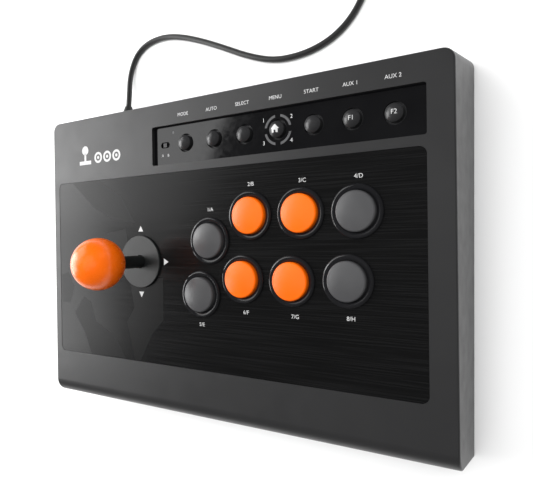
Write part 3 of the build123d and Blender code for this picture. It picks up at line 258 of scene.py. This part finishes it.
materials = {
    "housing_plastic": moulded_plastic(
        "housing_plastic", (0.017, 0.017, 0.0175), (0.02, 0.02, 0.0205), 0.42
    ),
    "art_gloss": brushed_film("art_gloss", (0.0035, 0.0035, 0.0036), (0.0065, 0.0065, 0.0067), 0.2),
    "art_dark": brushed_film("art_dark", (0.001, 0.001, 0.0011), (0.002, 0.002, 0.0021), 0.3),
    "strip_gloss": polished_plastic("strip_gloss", (0.0025, 0.0025, 0.003), (0.0035, 0.0035, 0.004), 0.07),
    "foot_rubber": moulded_plastic("foot_rubber", (0.012,) * 3, (0.018,) * 3, 0.75, 1800.0, 0.00003),
    "screw_steel": metal("screw_steel", (0.55, 0.55, 0.54), 0.32),
    "board_green": circuit_board("board_green"),
    "chip_black": moulded_plastic("chip_black", (0.018,) * 3, (0.026,) * 3, 0.5),
    "bezel_black": polished_plastic("bezel_black", (0.007, 0.007, 0.008), (0.009, 0.009, 0.01), 0.13),
    "cap_orange": polished_plastic("cap_orange", (0.86, 0.125, 0.0), (0.9, 0.14, 0.0), 0.36),
    "cap_grey": polished_plastic("cap_grey", (0.054, 0.054, 0.056), (0.062, 0.062, 0.064), 0.34),
    "small_grey": polished_plastic("small_grey", (0.018, 0.018, 0.019), (0.022, 0.022, 0.023), 0.3),
    "ball_orange": polished_plastic("ball_orange", (0.86, 0.13, 0.002), (0.9, 0.145, 0.002), 0.26),
    "shaft_steel": metal("shaft_steel", (0.62, 0.62, 0.63), 0.2),
    "washer_grey": moulded_plastic("washer_grey", (0.0105, 0.0115, 0.0115), (0.0125, 0.014, 0.014), 0.45),
    "nylon_white": moulded_plastic("nylon_white", (0.66, 0.65, 0.6), (0.74, 0.73, 0.69), 0.45),
    "light_white": polished_plastic("light_white", (0.075, 0.075, 0.078), (0.085, 0.085, 0.088), 0.35),
    "print_white": moulded_plastic("print_white", (0.52,) * 3, (0.57,) * 3, 0.5, grain_depth=0.000002),
    "lead_black": moulded_plastic("lead_black", (0.012,) * 3, (0.018,) * 3, 0.48, 1500.0),
    "tie_black": moulded_plastic("tie_black", (0.012,) * 3, (0.018,) * 3, 0.55),
    "plug_steel": metal("plug_steel", (0.66, 0.65, 0.63), 0.22),
}


def finish_with(piece, slot):
    """Gives a piece its material and nothing else."""
    piece.data.materials.clear()
    piece.data.materials.append(materials[slot])


for part in frame["record"]["subparts"]:
    finish_with(nodes[part["node"]], part["material_slot"])
finish_with(usb_lead, "lead_black")

# ------------------------------------------------------------------------------ printing on the face
# White pad-printed ink, a few hundredths of a millimetre proud: labels, numbers, arrows and a plain
# stick-and-buttons emblem.

FACE_TILT = math.radians(4.0)
LEVER_ON_FACE = Vector((-0.065, -0.0088, 0.056))
ON_FACE = Matrix.Translation(LEVER_ON_FACE) @ Matrix.Rotation(FACE_TILT, 4, "X")
INK = 0.00004
FACE_TOP = INK
PANEL_TOP = -0.0002 + INK
STRIP_TOP = -0.003 + INK
LETTER = 0.0026
CAP_HEIGHT_SHARE = 0.69


def printed(name, outlines, height, slot="print_white", body="housing"):
    """A flat printed piece on the face, from meshes or point lists already placed in (u, v)."""
    ink = bmesh.new()
    for outline in outlines:
        if isinstance(outline, bpy.types.Mesh):
            ink.from_mesh(outline)
        else:
            ink.faces.new([ink.verts.new((u, v, 0.0)) for u, v in outline])
    for vertex in ink.verts:
        vertex.co.z = height
    ink.normal_update()
    for face in ink.faces:
        if face.normal.z < 0:
            face.normal_flip()
    ink.transform(ON_FACE)
    mesh = bpy.data.meshes.new(name)
    ink.to_mesh(mesh)
    ink.free()
    piece = bpy.data.objects.new(name, mesh)
    bpy.context.scene.collection.objects.link(piece)
    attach(piece, body)
    finish_with(piece, slot)
    return piece


def lettering(words, u, v, letter=LETTER):
    """A mesh of one short word, centred on (u, v)."""
    curve = bpy.data.curves.new("words", "FONT")
    curve.body = words
    curve.size = letter / CAP_HEIGHT_SHARE
    curve.align_x = "CENTER"
    curve.resolution_u = 3
    holder = bpy.data.objects.new("words", curve)
    bpy.context.scene.collection.objects.link(holder)
    bpy.context.view_layer.update()
    mesh = bpy.data.meshes.new_from_object(holder)
    mesh.transform(Matrix.Translation((u, v - letter / 2, 0.0)))
    bpy.data.objects.remove(holder)
    return mesh


def disc(u, v, radius, sides=32):
    """Points of a round dot."""
    turns = [2 * math.pi * i / sides for i in range(sides)]
    return [(u + radius * math.cos(a), v + radius * math.sin(a)) for a in turns]


def bar(left, right, low, high):
    """Points of an upright rectangle."""
    return [(left, low), (right, low), (right, high), (left, high)]


def hoop(u, v, outer, inner, start=0.0, end=1.0, steps=32):
    """Quads of a ring or part of one, its angles counted in turns from the right."""
    quads = []
    for i in range(steps):
        first = 2 * math.pi * (start + (end - start) * i / steps)
        last = 2 * math.pi * (start + (end - start) * (i + 1) / steps)
        corners = [(inner, first), (outer, first), (outer, last), (inner, last)]
        quads.append([(u + r * math.cos(a), v + r * math.sin(a)) for r, a in corners])
    return quads


SMALL_FIRST_U, SMALL_PITCH = 0.0437, 0.0258
STRIP_LABELS = ["MODE", "AUTO", "SELECT", "MENU", "START", "AUX 1", "AUX 2"]
LABEL_V = 0.1082
STRIP_LETTER = 0.0024
strip_words = []
for place, words in enumerate(STRIP_LABELS):
    strip_words.append(lettering(words, SMALL_FIRST_U + SMALL_PITCH * place, LABEL_V, STRIP_LETTER))
printed("strip_labels", strip_words, FACE_TOP)

BUTTON_LABELS = [
    ("1/A", 0.0671, 0.0375),
    ("2/B", 0.1012, 0.0532),
    ("3/C", 0.1397, 0.0530),
    ("4/D", 0.1771, 0.0529),
    ("5/E", 0.0585, -0.0444),
    ("6/F", 0.0962, -0.0335),
    ("7/G", 0.1335, -0.0341),
    ("8/H", 0.1713, -0.0329),
]
printed("button_labels", [lettering(w, u, v) for w, u, v in BUTTON_LABELS], PANEL_TOP)

PLAYER_NUMBERS = [
    ("1", 0.1103, 0.0951),
    ("2", 0.1313, 0.0952),
    ("3", 0.1104, 0.0798),
    ("4", 0.1311, 0.0798),
]
printed("player_numbers", [lettering(w, u, v) for w, u, v in PLAYER_NUMBERS], STRIP_TOP)

ARROW_RADIUS = 0.0255
ARROW_HALF = 0.0022
ARROW_SPREAD = 1.15 * ARROW_HALF
arrows = []
for quarter in range(4):
    turn = Matrix.Rotation(math.pi / 2 * quarter, 2)
    shape = [
        (ARROW_RADIUS + ARROW_HALF, 0.0),
        (ARROW_RADIUS - ARROW_HALF, ARROW_SPREAD),
        (ARROW_RADIUS - ARROW_HALF, -ARROW_SPREAD),
    ]
    arrows.append([tuple(turn @ Vector(corner)) for corner in shape])
printed("direction_arrows", arrows, PANEL_TOP)

EMBLEM_U, EMBLEM_V = -0.0461, 0.0879
STICK_U = EMBLEM_U - 0.0155
STICK_HALF, STICK_BALL = 0.0011, 0.0038
FOOT_HALF, FOOT_LOW, FOOT_HIGH = 0.007, EMBLEM_V - 0.0075, EMBLEM_V - 0.0045
HOOP_PITCH, HOOP_OUTER, HOOP_INNER, HOOP_DOT = 0.0105, 0.0045, 0.0027, 0.0013
emblem = [
    bar(STICK_U - FOOT_HALF, STICK_U + FOOT_HALF, FOOT_LOW, FOOT_HIGH),
    bar(STICK_U - STICK_HALF, STICK_U + STICK_HALF, FOOT_HIGH, EMBLEM_V + 0.002),
    disc(STICK_U, EMBLEM_V + 0.0042, STICK_BALL),
]
for place in range(3):
    hoop_u = EMBLEM_U + HOOP_PITCH * place
    emblem += hoop(hoop_u, EMBLEM_V - 0.0028, HOOP_OUTER, HOOP_INNER)
    emblem.append(disc(hoop_u, EMBLEM_V - 0.0028, HOOP_DOT, 16))
printed("emblem", emblem, FACE_TOP)

# ------------------------------------------------------------------------------ angular pattern
# Plain many-sided patches in darker ink on the left of the panel, under the lever.

PATCHES = [
    [(-0.078, 0.066), (-0.046, 0.066), (-0.020, 0.052), (-0.006, 0.030), (-0.030, 0.034), (-0.052, 0.044)],
    [(-0.044, 0.010), (-0.040, 0.022), (-0.016, 0.026), (-0.014, 0.012), (-0.018, -0.004), (-0.034, 0.0)],
    [(-0.094, -0.012), (-0.086, -0.010), (-0.078, -0.022), (-0.084, -0.036), (-0.094, -0.036)],
    [(-0.078, -0.044), (-0.066, -0.030), (-0.058, -0.034), (-0.052, -0.050), (-0.030, -0.060)]
    + [(-0.018, -0.077), (-0.058, -0.077), (-0.066, -0.060)],
    [(-0.012, -0.016), (0.022, -0.012), (0.022, -0.044), (0.010, -0.056), (-0.002, -0.077)]
    + [(-0.008, -0.077), (-0.016, -0.048), (-0.008, -0.036)],
]
printed("angular_patches", PATCHES, PANEL_TOP - INK / 2, slot="art_dark")

# ------------------------------------------------------------------------------ symbols on the strip
# White ink on the domes of small buttons: a house on the middle one, F1 and F2 on the two on the right.
# It follows each dome, and moves with its button. Small signs stand under the slide switch.

SMALL_V = 0.0876
DOME_RADIUS, DOME_RIM, DOME_CROWN = 0.0054, -0.001, 0.0016
DOME_BALL = (DOME_RADIUS**2 + (DOME_CROWN - DOME_RIM) ** 2) / (2 * (DOME_CROWN - DOME_RIM))


def dome_print(name, outlines, u, body):
    """Ink that lies on the dome centred on (u, SMALL_V): flat pieces cut small, then lifted onto it."""
    piece = printed(name, outlines, 0.0, body=body)
    ink = bmesh.new()
    ink.from_mesh(piece.data)
    bmesh.ops.triangulate(ink, faces=ink.faces[:])
    bmesh.ops.subdivide_edges(ink, edges=ink.edges[:], cuts=3, use_grid_fill=True)
    to_face = ON_FACE.inverted()
    for vertex in ink.verts:
        place = to_face @ vertex.co
        away = (place.x - u) ** 2 + (place.y - SMALL_V) ** 2
        place.z = DOME_CROWN - DOME_BALL + math.sqrt(DOME_BALL**2 - away) + 2 * INK
        vertex.co = ON_FACE @ place
    ink.to_mesh(piece.data)
    ink.free()


HOME_U = SMALL_FIRST_U + 3 * SMALL_PITCH
ROOF_HALF = 0.0031
WALL_HALF = 0.00217
DOOR_HALF = 0.000682
WALL_FOOT = SMALL_V - 0.00248
DOOR_TOP = SMALL_V - 0.00093
dome_print(
    "home_symbol",
    [
        [(HOME_U - ROOF_HALF, SMALL_V), (HOME_U + ROOF_HALF, SMALL_V), (HOME_U, SMALL_V + ROOF_HALF)],
        bar(HOME_U - WALL_HALF, HOME_U - DOOR_HALF, WALL_FOOT, SMALL_V),
        bar(HOME_U + DOOR_HALF, HOME_U + WALL_HALF, WALL_FOOT, SMALL_V),
        bar(HOME_U - DOOR_HALF, HOME_U + DOOR_HALF, DOOR_TOP, SMALL_V),
    ],
    HOME_U,
    "home",
)

DOME_LETTER = 0.0027
DOME_SIGN_SHIFT = 0.0006
for place, words, body in ((5, "F1", "aux_1"), (6, "F2", "aux_2")):
    dome_u = SMALL_FIRST_U + place * SMALL_PITCH
    signs = [lettering(words, dome_u + DOME_SIGN_SHIFT, SMALL_V, DOME_LETTER)]
    dome_print(f"sign_{words}", signs, dome_u, body)

SWITCH_LETTER = 0.002
SWITCH_SIGNS = [("A", 0.0214, 0.0802), ("B", 0.0268, 0.0802)]
printed("switch_signs", [lettering(w, u, v, SWITCH_LETTER) for w, u, v in SWITCH_SIGNS], STRIP_TOP)

# ------------------------------------------------------------------------------ table and light
# A pale table and soft studio light, brighter from the player's left.

bpy.ops.mesh.primitive_plane_add(size=6.0)
table = bpy.context.object
table.name = "table_top"
table_material, table_tree, table_shader = new_material("table_pale", (0.86, 0.86, 0.86), 0.9)
table_tone = spread(table_tree, noise(table_tree, 3.0), 0.3, 0.7, 0.0, 1.0)
tinted(table_tree, table_shader, table_tone, (0.85, 0.85, 0.85), (0.87, 0.87, 0.87))
table.data.materials.append(table_material)


def softbox(name, place, target, size, power, in_reflections=True):
    """A square light at place that faces target."""
    light_data = bpy.data.lights.new(name, "AREA")
    light_data.shape = "SQUARE"
    light_data.size = size
    light_data.energy = power
    light = bpy.data.objects.new(name, light_data)
    light.location = place
    light.rotation_euler = (Vector(target) - Vector(place)).to_track_quat("-Z", "Y").to_euler()
    light.visible_glossy = in_reflections
    bpy.context.scene.collection.objects.link(light)
    return light


softbox("left_softbox", (-1.0, 0.55, 0.75), (0.0, 0.0, 0.05), 1.1, 9.0)
softbox("low_left_softbox", (-1.1, 0.0, 0.42), (0.0, 0.0, 0.05), 0.8, 11.0)
softbox("top_fill", (0.1, 0.1, 1.6), (0.0, 0.05, 0.0), 1.6, 33.0, in_reflections=False)
softbox("right_fill", (1.0, 0.9, 0.5), (0.15, 0.0, 0.03), 0.8, 7.0, in_reflections=False)

world = bpy.data.worlds.new("studio")
world.use_nodes = True
bpy.context.scene.world = world
background = world.node_tree.nodes["Background"]
background.inputs["Color"].default_value = (1.0, 1.0, 1.0, 1.0)
background.inputs["Strength"].default_value = 0.12
bpy.context.scene.view_settings.view_transform = "Standard"

# ------------------------------------------------------------------------------ final update

bpy.context.view_layer.update()
